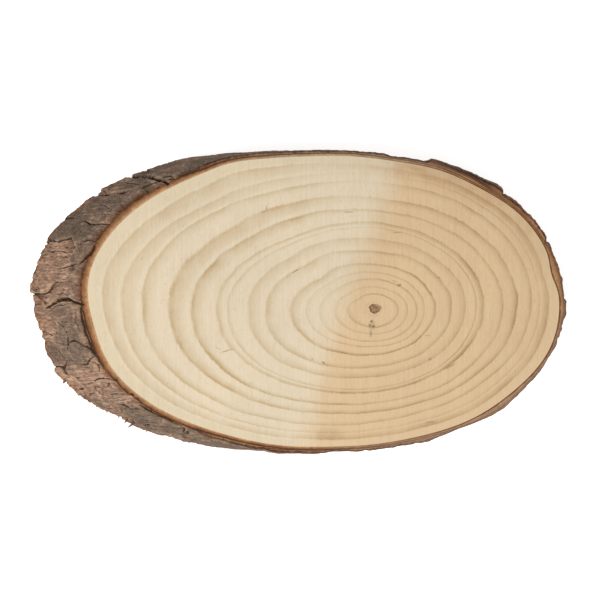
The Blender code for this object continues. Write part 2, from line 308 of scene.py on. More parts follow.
# Splinters that stick out: direction, depth, length, half width and degrees turned from straight out
SPLINTERS = (
    (176.2, 28.5, 2.6, 0.9, 0.0),
    (209.8, 30.4, 1.9, 1.1, 0.0),
    (217.6, 30.2, 1.5, 0.7, -10.0),
    (225.4, 30.0, 1.2, 0.7, 0.0),
    (229.0, 29.8, 2.3, 0.35, 5.0),
    (232.8, 27.5, 4.6, 0.9, 42.0),
    (231.2, 29.0, 2.6, 0.75, 25.0),
    (237.5, 30.0, 1.4, 0.5, 0.0),
)
SPLINTER_STATIONS = ((0.0, 1.0), (0.3, 0.95), (0.6, 0.70), (0.85, 0.38), (1.0, 0.08))
SPLINTER_SIDES = 6
SPLINTER_FOOT = 0.6
SPLINTER_SLOPE = 0.25
SPLINTER_THINNESS = 0.6

# Small scales that peel off the visible bark: how many, and the ranges of their places and sizes
SCALE_COUNT = 110
SCALE_DIRECTIONS = (112.0, 252.0)
SCALE_DEPTHS = (2.0, 30.0)
SCALE_LENGTHS = (0.9, 2.4)
SCALE_HALF_WIDTHS = (0.25, 0.70)
SCALE_LIFTS = (8.0, 30.0)
SCALE_SLANTS = (-0.3, 0.3)
SCALE_FOOT = 0.25
SCALE_THINNESS = 0.3
SCALE_SEED = 19

# Sizes of the meshes: the bark has more columns where the camera sees its wall
BARK_COLUMNS = 1180
WALL_ROWS = 68
DENSE_FROM = 104.0
DENSE_TO = 264.0
DENSER = 2.8
WOOD_COLUMNS = 480
ROWS_IN_RING = 3
FIRST_RING_ROW = 5.0
OVERLAP = 0.12

# How bright the light on a level face is: colours below are as seen under it
LIGHT_LEVEL = 1.65

# The stage, in metres
FLOOR_SIZE = 4.0
FLOOR_Z = -0.0002
FLOOR_GREY = 0.65
FLOOR_GLOW = 0.6
SKY_STRENGTH = 0.85
LAMP_AT = (-0.50, -0.60, 0.85)
LAMP_SIZE = 0.7
LAMP_POWER = 14.0
CAMERA_AT = (0.00263, 0.00074, 1.02)
CAMERA_LENS = 120.0
CAMERA_SENSOR = 36.0


def turn_between(direction, other):
    """Degrees from one direction to another, the short way round."""
    return (direction - other + 180.0) % 360.0 - 180.0


def smooth_step(value):
    """0 below 0, 1 above 1, and a soft slope between."""
    value = np.clip(value, 0.0, 1.0)
    return value * value * (3.0 - 2.0 * value)


def near(direction, middle, reach, full=1.0):
    """1 near a direction and 0 far from it: a larger full value widens the part that is wholly 1."""
    return smooth_step(full - np.abs(turn_between(direction, middle)) / reach)


def wood_swell(direction):
    """How much the wood's radius differs from WOOD_RADIUS."""
    swell = np.zeros_like(direction)
    for middle, height, width in WOOD_SWELLS:
        swell += height * np.exp(-((turn_between(direction, middle) / width) ** 2))
    return swell


def outline(direction, thickness, swell_share=1.0):
    """Points of a level cut through the trunk, this far outside the wood and square to the trunk."""
    angle = np.radians(direction)
    grown = 1.0 + swell_share * wood_swell(direction) / WOOD_RADIUS
    normal_x = math.cos(LEAN) * np.cos(angle)
    normal_y = np.sin(angle)
    reach = thickness / (normal_x**2 + normal_y**2)
    x = WOOD_RADIUS / math.cos(LEAN) * grown * np.cos(angle) + reach * normal_x
    y = WOOD_RADIUS * grown * np.sin(angle) + reach * normal_y
    return x, y


def oval_middle():
    """Where the middle of the wood's oval lies on the upper cut, found from the box of the CAD wood."""
    low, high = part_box("wood_disc")
    x, y = outline(np.arange(0.0, 360.0, 0.25), 0.0)
    lowest_x = x.min() - THICKNESS * math.tan(LEAN)
    middle_x = (low.x + high.x) / 2.0 / MM - (lowest_x + x.max()) / 2.0
    middle_y = (low.y + high.y) / 2.0 / MM - (y.min() + y.max()) / 2.0
    return middle_x, middle_y


OVAL_MIDDLE = oval_middle()


def placed(x, y, z):
    """Points slid along the leaning trunk to their height, in metres in the object's frame."""
    slid_x = x + (z - THICKNESS) * math.tan(LEAN) + OVAL_MIDDLE[0]
    return np.stack([slid_x, y + OVAL_MIDDLE[1], z + 0.0 * x], axis=-1) * MM


def cloud(points, size, octaves, seed):
    """Fractal noise at an array of points: size is the width of its largest lumps."""
    flat = points.reshape(-1, 3) / size + seed
    values = [noise.fractal(point, 1.0, 2.0, octaves) for point in flat.tolist()]
    return np.array(values).reshape(points.shape[:-1])


def new_object(name, data):
    """A new object of the scene."""
    made = bpy.data.objects.new(name, data)
    bpy.context.scene.collection.objects.link(made)
    return made


def add_mesh(name, points, faces, attributes, sharp_from):
    """A mesh object with named numbers on its points, smooth but for edges sharper than an angle."""
    mesh = bpy.data.meshes.new(name)
    mesh.from_pydata(points.reshape(-1, 3).tolist(), [], faces)
    for key, values in attributes.items():
        layer = mesh.attributes.new(key, "FLOAT", "POINT")
        layer.data.foreach_set("value", np.asarray(values, dtype=np.float32).ravel())
    mesh.shade_smooth()
    mesh.set_sharp_from_angle(angle=math.radians(sharp_from))
    return new_object(name, mesh)


def band_faces(columns, rows, closed):
    """Faces between neighbouring columns and rows of a grid; a closed one joins its last row to its first."""
    column = np.arange(columns)[:, None]
    row = np.arange(rows if closed else rows - 1)[None, :]
    after = (column + 1) % columns
    above = (row + 1) % rows
    corners = (column * rows + row, after * rows + row, after * rows + above, column * rows + above)
    return np.stack(np.broadcast_arrays(*corners), axis=-1).reshape(-1, 4).tolist()


def around(turn, values):
    """A smooth closed curve through the values given for each of RING_TURNS, read at an array of turns."""
    turns = np.array(RING_TURNS)
    gaps = (np.roll(turns, -1) - turns) % 360.0
    slopes = (np.roll(values, -1) - np.roll(values, 1)) / (gaps + np.roll(gaps, 1))
    turn = turn % 360.0
    start = np.searchsorted(turns, turn, side="right") - 1
    end = (start + 1) % len(turns)
    gap = gaps[start]
    share = (turn - turns[start]) / gap
    from_start = (1.0 + 2.0 * share) * (1.0 - share) ** 2 * values[start]
    from_end = share**2 * (3.0 - 2.0 * share) * values[end]
    leaving = share * (1.0 - share) ** 2 * gap * slopes[start]
    arriving = share**2 * (share - 1.0) * gap * slopes[end]
    return from_start + from_end + leaving + arriving


def reach_from_pith(turn, swell_share):
    """How far the wood's edge lies from the pith at each turn, with its swells made smaller by a factor."""
    edge_x, edge_y = outline(np.arange(0.0, 360.0, 0.25), 0.0, swell_share)
    edge_turn = np.degrees(np.arctan2(edge_y - PITH_AT[1], edge_x - PITH_AT[0]))
    reach = np.hypot(edge_x - PITH_AT[0], edge_y - PITH_AT[1])
    return np.interp(turn, edge_turn, reach, period=360.0)


def ring_reach(turn, shares):
    """How far a growth ring lies from the pith at each turn: inner ones don't follow the edge's swells."""
    turns = np.array(RING_TURNS)
    swell_share = shares.mean() ** 8
    ratios = shares * reach_from_pith(turns, 1.0) / reach_from_pith(turns, swell_share)
    return around(turn, ratios) * reach_from_pith(turn, swell_share)


def by_side(turn, sides):
    """A smooth blend of the values for the right, the top, the left and the bottom."""
    across = np.cos(np.radians(turn))
    up = np.sin(np.radians(turn))
    ways = (across, up, -across, -up)
    return sum(value * np.maximum(way, 0.0) ** 2 for value, way in zip(sides, ways))


def ring_shares(turn, edge_reach):
    """Every ring's share of the way to the edge at each turn, with its darkness by side and its late wood."""
    wobble = sum(size * np.sin(np.radians(count * turn + shift)) for size, count, shift in RING_WAVES)
    rings = []
    for thousandths, *looks in RINGS:
        shares = np.array(thousandths) / 1000.0
        rings.append((ring_reach(turn, shares) / edge_reach + np.mean(shares) * wobble, *looks))
    rings.append((1.0 + 0.0 * turn, (0.0, 0.0, 0.0, 0.0), PLAIN_LATE, PLAIN_LATE))
    return rings


def ring_rows(direction):
    """Rows of the wood's face outside the pith: x, y, ring count, darkness, late share and brownness."""
    edge_x, edge_y = outline(direction, 0.0)
    way_x = edge_x - PITH_AT[0]
    way_y = edge_y - PITH_AT[1]
    edge_reach = np.hypot(way_x, way_y)
    turn = np.degrees(np.arctan2(way_y, way_x))
    rows = []
    inner_share = FIRST_RING_ROW / edge_reach
    for number, (outer_share, sides, late_right, late_left) in enumerate(ring_shares(turn, edge_reach)):
        late = late_right + near(turn, *WIDE_LATE) * (late_left - late_right)
        darkness = by_side(turn, sides)
        for step in range(1, ROWS_IN_RING + 1):
            part = step / ROWS_IN_RING
            share = inner_share + part * (outer_share - inner_share)
            x = PITH_AT[0] + share * way_x
            y = PITH_AT[1] + share * way_y
            count = number + part
            faded = near(turn, *FADED) * smooth_step((count - FADED_RINGS[0]) / FADED_RINGS[1])
            brown = near(turn, *BROWN) * smooth_step((count - BROWN_RINGS[0]) / BROWN_RINGS[1])
            rows.append((x, y, count + 0.0 * x, darkness * (1.0 - FADED_LOSS * faded), late, brown))
        inner_share = outer_share
    return rows


def pith_rows(direction):
    """Rows of the pith's pit and its rim: x, y, depth below the face, and pith colour."""
    pith_x, pith_y = PITH_AT
    edge_x, edge_y = outline(direction, 0.0)
    turn = np.arctan2(edge_y - pith_y, edge_x - pith_x)
    ragged = sum((size * np.sin(count * turn + shift) for size, count, shift in PITH_WAVES), 1.0)
    rows = []
    for size, depth, colour in PITH_ROWS:
        x = pith_x + size * ragged * PITH_HALF_SIZE[0] * np.cos(turn)
        y = pith_y + size * ragged * PITH_HALF_SIZE[1] * np.sin(turn)
        bumps = 0.25 * cloud(np.stack([x, y, 0 * x], axis=-1), 1.3, 2, 5.0)
        roughened = depth + bumps if depth > 0.5 else depth + 0.0 * x
        rows.append((x, y, PITH_DEPTH * roughened, colour + 0.0 * x))
    return rows


def tan_share(x, y):
    """How far into the tan half of the wood a point lies, from 0 to 1."""
    border_y, border_x = np.array(TAN_BORDER).T
    past = x + OVAL_MIDDLE[0] - np.interp(y, border_y, border_x)
    return smooth_step(past / TAN_BLEND + 0.5)


def make_wood():
    """The disc as one closed mesh: both ringed faces with the pith's pits, and the wall between them."""
    direction = np.arange(WOOD_COLUMNS) * 360.0 / WOOD_COLUMNS
    zero = np.zeros(WOOD_COLUMNS)
    late = PLAIN_LATE + zero
    face = [(x, y, depth, zero, zero, late, zero, colour) for x, y, depth, colour in pith_rows(direction)]
    face += [(x, y, zero, *rest, zero) for x, y, *rest in ring_rows(direction)]
    upper = [(x, y, THICKNESS - depth, *rest) for x, y, depth, *rest in face]
    columns = [np.stack(values, axis=1) for values in zip(*(upper + face[::-1]))]
    x, y, z, ring, dark, late, brown, pith = columns
    row_count = x.shape[1]
    faces = band_faces(WOOD_COLUMNS, row_count, closed=False)
    upper_end = x.size
    for column in range(WOOD_COLUMNS):
        first = column * row_count
        after = (column + 1) % WOOD_COLUMNS * row_count
        faces.append((upper_end, after, first))
        faces.append((upper_end + 1, first + row_count - 1, after + row_count - 1))
    centre_z = np.array([THICKNESS - PITH_CENTRE_DEPTH, PITH_CENTRE_DEPTH])
    centres = placed(np.full(2, PITH_AT[0]), np.full(2, PITH_AT[1]), centre_z)
    points = np.vstack([placed(x, y, z).reshape(-1, 3), centres])
    looks = {"ring": ring, "dark": dark, "late": late, "brown": brown, "pith": pith, "tan": tan_share(x, y)}
    for key, values in looks.items():
        looks[key] = np.append(values, [PITH_LOOKS.get(key, 0.0)] * 2)
    made = add_mesh("sawn_wood", points, [face[::-1] for face in faces], looks, 35.0)
    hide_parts("wood_disc")
    return made


def inner_bark(direction):
    """Thickness of the smooth inner bark."""
    thickness = INNER_BARK - INNER_BARK_CHANGE * np.cos(np.radians(direction))
    for middle, height, width in INNER_BARK_LUMPS:
        thickness = thickness + height * np.exp(-((turn_between(direction, middle) / width) ** 2))
    return thickness


def free_plates():
    """Plates in uneven rows over the bark that the photo hides, each with a tone."""
    draw = np.random.default_rng(PLATE_SEED)
    tone_draw = np.random.default_rng(TONE_SEED)
    plates = []
    direction = FREE_FROM
    while direction < FREE_TO:
        half_width = draw.uniform(*FREE_HALF_WIDTH)
        depth = draw.uniform(*FREE_FIRST_DEPTH)
        while depth < FREE_LAST_DEPTH:
            half_length = draw.uniform(*FREE_HALF_LENGTH)
            middle = direction + half_width + draw.uniform(-FREE_SHIFT, FREE_SHIFT)
            height = draw.uniform(*FREE_HEIGHT)
            tilts = draw.uniform(-FREE_TILT, FREE_TILT, 2)
            tone = tone_draw.uniform(0.1, 0.9)
            plates.append((middle, depth, half_width, half_length, height, *tilts, tone))
            depth += FREE_STEP * half_length
        direction += FREE_STEP * half_width
    return plates


def waves(kinds, direction, depth):
    """The sum of some waves at arrays of places."""
    total = np.zeros_like(direction)
    for size, per_mm, round_trunk in kinds:
        total += size * np.sin(per_mm * depth + round_trunk * np.radians(direction))
    return total


def plates_at(direction, depth):
    """Height of the outer bark's plates, their tone, and the distance to the nearest border."""
    bent_direction = direction + waves(WAVES_IN_DIRECTION, direction, depth)
    bent_depth = depth + waves(WAVES_IN_DEPTH, direction, depth)
    plates = np.array(list(SEEN_PLATES) + free_plates())
    across = turn_between(bent_direction[..., None], plates[:, 0]) / plates[:, 2]
    along = (bent_depth[..., None] - plates[:, 1]) / plates[:, 3]
    distance = np.hypot(across, along)
    order = np.argpartition(distance, 1, axis=-1)[..., :2]
    two = np.take_along_axis(distance, order, -1)
    own = np.take_along_axis(order, np.argmin(two, axis=-1)[..., None], -1)
    across = np.take_along_axis(across, own, -1)[..., 0]
    along = np.take_along_axis(along, own, -1)[..., 0]
    plate = plates[own[..., 0]]
    to_border = (two.max(axis=-1) - two.min(axis=-1)) * np.radians(plate[..., 2]) * WOOD_RADIUS / 2.0
    top = plate[..., 4] * (1.0 + plate[..., 5] * across + plate[..., 6] * along)
    return np.maximum(top, CRACK_FLOOR), plate[..., 7], to_border


def flaked(direction, depth):
    """What is left of the outer bark's height near the upper cut, from 0 to 1."""
    left = np.ones_like(direction)
    for start, end, reach, share in FLAKED:
        past_start = (direction - start) % 360.0
        inside = smooth_step(past_start / FLAKED_EASE) * smooth_step((end - start - past_start) / FLAKED_EASE)
        left *= 1.0 - inside * (1.0 - share) * (1.0 - smooth_step(depth / reach))
    return left


def bark_noise(kind, direction, depth):
    """Fractal noise of one kind on the trunk's surface."""
    stretch, size, octaves, seed = kind
    angle = np.radians(direction)
    points = [WOOD_RADIUS * np.cos(angle), WOOD_RADIUS * np.sin(angle), depth / stretch]
    return cloud(np.stack(points, axis=-1), size, octaves, seed)


def crack_cut(direction, depth, ragged):
    """How deep the named cracks cut at arrays of places: each one tapers towards its ends."""
    to_mm = math.radians(1.0) * WOOD_RADIUS
    cut = np.zeros_like(direction)
    share = np.linspace(0.0, 1.0, CRACK_STEPS + 1)[:, None]
    for start, middle, end, width, deepest in CRACKS:
        start, middle, end = np.array(start), np.array(middle), np.array(end)
        bend = 2.0 * middle - (start + end) / 2.0
        path = (1 - share) ** 2 * start + 2 * share * (1 - share) * bend + share**2 * end
        away = np.full(direction.shape, np.inf)
        place = np.zeros(direction.shape)
        for number, ((from_turn, from_depth), (to_turn, to_depth)) in enumerate(zip(path[:-1], path[1:])):
            run_x = (to_turn - from_turn) * to_mm
            run_y = to_depth - from_depth
            x = turn_between(direction, from_turn) * to_mm
            y = depth - from_depth
            along = np.clip((x * run_x + y * run_y) / (run_x**2 + run_y**2), 0.0, 1.0)
            distance = np.hypot(x - along * run_x, y - along * run_y)
            place = np.where(distance < away, (number + along) / CRACK_STEPS, place)
            away = np.minimum(away, distance)
        taper = 0.4 + 0.6 * np.sqrt(np.sin(math.pi * place))
        cut = np.maximum(cut, deepest * taper * smooth_step(1.3 - ragged - away / (width * taper / 2.0)))
    return cut


def terraces(value, steps):
    """A value turned into flat steps with short steep risers."""
    level = value * steps
    whole = np.floor(level)
    return (whole + smooth_step((level - whole - 0.7) / 0.3)) / steps


def bark_relief(direction, depth):
    """Whole bark thickness in fine detail, and the tone of each place."""
    noises = [bark_noise(kind, direction, depth) for kind in RELIEF_NOISE]
    bend, layers, flakes, fibres, grains, fissures, split, sunk = noises
    bend = BEND * bend
    top, tone, to_border = plates_at(direction + bend / MM_PER_DEGREE, depth + bend)
    layers = terraces(layers, LAYER_STEPS)
    flakes = terraces(flakes, FLAKE_STEPS)
    rough = 0.55 + 0.6 * tone + 0.4 * near(direction, *ROUGHER)
    height = top + rough * (LAYER_HEIGHT * layers + FLAKE_HEIGHT * flakes + FIBRE_HEIGHT * fibres)
    height += GRAIN_HEIGHT * grains
    split = smooth_step(split * 2.0 + 0.25) * smooth_step(1.0 - np.abs(fissures) / FISSURE_WIDTH)
    height -= (FISSURE_DEPTH - 0.35 * tone) * split
    gap = smooth_step(sunk * 1.6 + 0.45) * (1.0 - smooth_step(to_border / CRACK_WIDTH))
    height -= gap * (0.12 + 0.38 * top) * (1.0 - 0.8 * near(direction, *CLOSED_BORDERS))
    height = np.maximum(height, CRACK_FLOOR + 0.13 * grains) * flaked(direction, depth)
    height -= crack_cut(direction + 0.5 * bend / MM_PER_DEGREE, depth + 0.5 * bend, 0.3 * grains)
    inner = inner_bark(direction)
    thickness = inner + np.maximum(height, -DEEPEST_IN_INNER * inner)
    return thickness, np.clip(tone - 0.6 * layers, 0.0, 1.0)


def blurred(values, reach):
    """A grid averaged over a square window that wraps round the trunk."""
    width = 2 * reach + 1
    total = np.pad(values, ((reach + 1, reach), (0, 0)), mode="wrap").cumsum(axis=0)
    values = (total[width:] - total[:-width]) / width
    padded = np.pad(values, ((0, 0), (reach, reach)), mode="edge")
    total = np.pad(padded, ((0, 0), (1, 0))).cumsum(axis=1)
    return (total[:, width:] - total[:, :-width]) / width


def bark_directions():
    """The directions of the bark's columns, closer together where the camera sees the wall."""
    fine = np.arange(0.0, 360.0, 0.05)
    seen = smooth_step((fine - DENSE_FROM) / FLAKED_EASE) * smooth_step((DENSE_TO - fine) / FLAKED_EASE)
    density = 1.0 + (DENSER - 1.0) * seen
    total = np.concatenate([[0.0], density.cumsum()])
    even = np.arange(BARK_COLUMNS) * total[-1] / BARK_COLUMNS
    return np.interp(even, total, np.append(fine, 360.0))


def rim_rows(direction, outer, chip, rim):
    """Rows of a sawn rim from the wall's edge inwards: bark thickness and distance from the cut."""
    inner = inner_bark(direction)
    rough = np.abs(bark_noise(RIM_NOISE, direction, outer * 3.0))
    outer_rows, inner_rows = rim
    rows = []
    for share in outer_rows:
        reach = np.minimum(inner + share * (outer - inner), outer * (0.8 + 0.2 * share))
        rows.append((reach, chip * share + 0.35 * rough))
    for share, sunk in inner_rows:
        reach = np.minimum(inner * share, outer * (0.55 + 0.2 * share))
        rows.append((reach, sunk + 0.10 * rough))
    rows.append((0.0 * inner - OVERLAP, 0.0 * inner + OVERLAP))
    return rows


def wall_looks(wall, tone, crumble, rim_count):
    """What the bark's colours follow on the wall, with plain values for the rows of the rims: cavity and
    hollow, how far each place lies below its surroundings, drive painted shade in cracks and hollows and
    painted highlights on raised places.
    """
    on_rims = ((0, 0), (0, rim_count))
    share = np.linspace(0.0, 1.0, WALL_ROWS)
    # low_edge makes the wall darker towards its lower edge, through hollow.
    low_edge = smooth_step(1.0 - share / 0.07) * np.clip(0.4 + crumble, 0.0, 0.8)
    torn = smooth_step(1.5 - share / 0.09) * np.clip(0.6 - crumble, 0.0, 1.0)
    return {
        "tone": np.pad(blurred(tone, 4), on_rims, mode="edge"),
        "cavity": np.pad(blurred(wall, 3) - wall, on_rims),
        "hollow": np.pad(blurred(wall, 9) - wall + low_edge, on_rims),
        "torn": np.pad(torn, on_rims),
        "cut": np.pad(np.zeros_like(wall), on_rims, constant_values=1.0),
    }


def make_bark():
    """The bark as one closed ring: its wall, the sawn rim above, the inner wall and the rim below."""
    direction = bark_directions()
    crumble = bark_noise(CRUMBLE_NOISE, direction, 0.0 * direction)
    upper_chip = CHIP * np.maximum(0.25 + crumble, 0.0)
    lower_chip = CHIP * np.maximum(0.25 - crumble, 0.0)
    share = np.linspace(0.0, 1.0, WALL_ROWS)
    wall_z = lower_chip[:, None] * (1 - share) + (THICKNESS - upper_chip[:, None]) * share
    wall_direction = np.repeat(direction[:, None], WALL_ROWS, axis=1)
    wall, tone = bark_relief(wall_direction, (THICKNESS - wall_z) / math.cos(LEAN))
    upper = rim_rows(direction, wall[:, -1], upper_chip, UPPER_RIM)
    lower = rim_rows(direction, wall[:, 0], lower_chip, LOWER_RIM)[::-1]
    reach = np.column_stack([wall] + [row[0] for row in upper + lower])
    z = np.column_stack([wall_z] + [THICKNESS - sunk for _, sunk in upper] + [sunk for _, sunk in lower])
    direction = np.repeat(direction[:, None], z.shape[1], axis=1)
    looks = wall_looks(wall, tone, crumble[:, None], len(upper + lower))
    looks["layer"] = reach / inner_bark(direction)
    looks["inner_end"] = 1.0 + 0.4 * (1.0 - flaked(direction, 0.0 * z))
    looks["bare"] = 1.0 - flaked(direction, (THICKNESS - z) / math.cos(LEAN) * 0.7)
    looks["reach"] = reach
    looks["edge"] = reach / wall[:, -1:]
    for key, stretch in RIM_STRETCHES.items():
        looks[key] = near(direction, *stretch)
    x, y = outline(direction, reach)
    faces = band_faces(BARK_COLUMNS, z.shape[1], closed=True)
    made = add_mesh("bark_ring", placed(x, y, z), faces, looks, 50.0)
    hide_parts("bark")
    return made


def bark_place(direction, depth):
    """A point on the bark's surface in millimetres, with the ways out, round the trunk and down it."""
    turn = np.array([direction])
    thickness = bark_relief(turn, np.array([depth]))[0]
    z = THICKNESS - depth * math.cos(LEAN)
    base = placed(*outline(turn, thickness), z)[0] / MM
    farther = placed(*outline(turn, thickness + 1.0), z)[0] / MM
    down = np.array([-math.sin(LEAN), 0.0, -math.cos(LEAN)])
    out = farther - base
    out = out - out.dot(down) * down
    out = out / np.linalg.norm(out)
    return base, out, np.cross(down, out), down


def splinter(base, way, side, half_width, thinness):
    """Rings of points along one splinter, which narrows to its tip."""
    side = side - side.dot(way) * way / way.dot(way)
    side = side / np.linalg.norm(side)
    face = np.cross(way, side) / np.linalg.norm(way)
    turn = np.arange(SPLINTER_SIDES) * 2.0 * math.pi / SPLINTER_SIDES
    points = []
    for share, size in SPLINTER_STATIONS:
        ring = half_width * size * np.cos(turn)[:, None] * side
        ring = ring + half_width * thinness * size * np.sin(turn)[:, None] * face
        points.append(base + share * way + ring)
    return np.concatenate(points)


def splinter_faces(count):
    """Faces of this many splinters, each closed at both ends."""
    sides = range(SPLINTER_SIDES)
    rings = len(SPLINTER_STATIONS)
    faces = []
    for number in range(count):
        first = number * rings * SPLINTER_SIDES
        last = first + (rings - 1) * SPLINTER_SIDES
        for low in range(first, last, SPLINTER_SIDES):
            high = low + SPLINTER_SIDES
            for side in sides:
                after = (side + 1) % SPLINTER_SIDES
                faces.append((low + side, low + after, high + after, high + side))
        faces.append([first + side for side in reversed(sides)])
        faces.append([last + side for side in sides])
    return faces


def make_splinters():
    """Splinters along the bark's edge and small peeling scales on its wall, each one closed."""
    draw = np.random.default_rng(SCALE_SEED)
    bodies = []
    for direction, depth, length, half_width, turned in SPLINTERS:
        base, out, across, down = bark_place(direction, depth)
        turned = math.radians(turned)
        way = math.cos(turned) * out + math.sin(turned) * across + SPLINTER_SLOPE * down
        foot = base - SPLINTER_FOOT * out
        whole = (length + SPLINTER_FOOT) * way
        bodies.append(splinter(foot, whole, across, half_width, SPLINTER_THINNESS))
    for _ in range(SCALE_COUNT):
        base, out, across, down = bark_place(draw.uniform(*SCALE_DIRECTIONS), draw.uniform(*SCALE_DEPTHS))
        lift = math.radians(draw.uniform(*SCALE_LIFTS))
        upwards = draw.choice((-1.0, 1.0))
        slant = draw.uniform(*SCALE_SLANTS)
        way = upwards * math.cos(lift) * down + math.sin(lift) * out + slant * across
        length = draw.uniform(*SCALE_LENGTHS)
        half_width = draw.uniform(*SCALE_HALF_WIDTHS)
        bodies.append(splinter(base - SCALE_FOOT * out, length * way, across, half_width, SCALE_THINNESS))
    points = np.concatenate(bodies) * MM
    return add_mesh("bark_splinters", points, splinter_faces(len(bodies)), {}, 40.0)


class Shader:
    """Short calls that build the nodes of one material."""

    def __init__(self, name, roughness, shine):
        self.material = bpy.data.materials.new(name)
        self.material.use_nodes = True
        self.nodes = self.material.node_tree.nodes
        self.links = self.material.node_tree.links
        self.surface = self.nodes["Principled BSDF"]
        self.surface.inputs["Roughness"].default_value = roughness
        self.surface.inputs["Specular IOR Level"].default_value = shine
        self.mm = self.shade(self.node("TexCoord", {})["Object"], 1.0 / MM)

    def put(self, socket, value):
        """Sets a socket to a number or colour, or links another node's output to it."""
        if isinstance(value, bpy.types.NodeSocket):
            self.links.new(value, socket)
        elif isinstance(value, str):
            socket.default_value = linear(value)
        else:
            socket.default_value = value

    def node(self, kind, inputs, **settings):
        """The outputs of a new node with these settings and inputs."""
        made = self.nodes.new("ShaderNode" + kind)
        for name, value in settings.items():
            setattr(made, name, value)
        for key, value in inputs.items():
            self.put(made.inputs[key], value)
        return made.outputs

    def attribute(self, name):
        """A number stored on the mesh's points."""
        return self.node("Attribute", {}, attribute_name=name)["Fac"]

    def math(self, operation, first, second=0.0):
        """One step of arithmetic."""
        return self.node("Math", {0: first, 1: second}, operation=operation)[0]

    def plus(self, first, second):
        """The sum of two numbers."""
        return self.math("ADD", first, second)

    def times(self, first, second):
        """The product of two numbers."""
        return self.math("MULTIPLY", first, second)

    def vector(self, operation, first, second=(0.0, 0.0, 0.0)):
        """The outputs of one step of vector arithmetic."""
        return self.node("VectorMath", {0: first, 1: second}, operation=operation)

    def shade(self, colour, factor):
        """A colour or vector times a number."""
        return self.node("VectorMath", {0: colour, "Scale": factor}, operation="SCALE")["Vector"]

    def mapped(self, at, location=(0.0, 0.0, 0.0), rotation=(0.0, 0.0, 0.0), scale=(1.0, 1.0, 1.0)):
        """Coordinates measured from a place, along turned axes, in units of scale."""
        inputs = {"Vector": at, "Location": location, "Rotation": rotation, "Scale": scale}
        return self.node("Mapping", inputs, vector_type="TEXTURE")["Vector"]

    def cloud(self, at, size, detail=2.0, roughness=0.5, output="Fac"):
        """Noise from about 0 to 1, with lumps this wide."""
        inputs = {"Vector": at, "Scale": 1.0 / size, "Detail": detail, "Roughness": roughness}
        return self.node("TexNoise", inputs)[output]

    def warped(self, at, size, amount):
        """Coordinates pushed about by noise, by up to about half this amount each way."""
        push = self.vector("SUBTRACT", self.cloud(at, size, output="Color"), (0.5, 0.5, 0.5))["Vector"]
        return self.vector("ADD", at, self.shade(push, amount))["Vector"]

    def between(self, value, start, end, low=0.0, high=1.0, smooth=False):
        """A value's way from start to end, as a number from low to high."""
        inputs = dict(enumerate((value, start, end, low, high)))
        kind = "SMOOTHSTEP" if smooth else "LINEAR"
        return self.node("MapRange", inputs, interpolation_type=kind)["Result"]

    def spread(self, value, low=0.0, high=1.0):
        """The usual range of noise, stretched to go from low to high."""
        return self.between(value, 0.3, 0.7, low, high)

    def mix(self, share, first, second):
        """A colour between two others."""
        return self.node("Mix", {"Factor": share, 6: first, 7: second}, data_type="RGBA")[2]

    def bump(self, height, distance, before=None):
        """Shading relief: height from 0 to 1 stands for this many millimetres."""
        inputs = {"Distance": distance * MM, "Height": height}
        if before is not None:
            inputs["Normal"] = before
        return self.node("Bump", inputs)["Normal"]

    def finish(self, colour, normal, roughness=None):
        """Joins the colour and relief to the surface."""
        self.put(self.surface.inputs["Base Color"], colour)
        self.put(self.surface.inputs["Normal"], normal)
        if roughness is not None:
            self.put(self.surface.inputs["Roughness"], roughness)
        return self.material


def linear(text):
    """A colour as seen in the photo, written as six hex digits, as the surface's own colour."""
    shares = [int(text[start:start + 2], 16) / 255.0 for start in (0, 2, 4)]
    straight = [s / 12.92 if s <= 0.04045 else ((s + 0.055) / 1.055) ** 2.4 for s in shares]
    return (*[s / LIGHT_LEVEL for s in straight], 1.0)


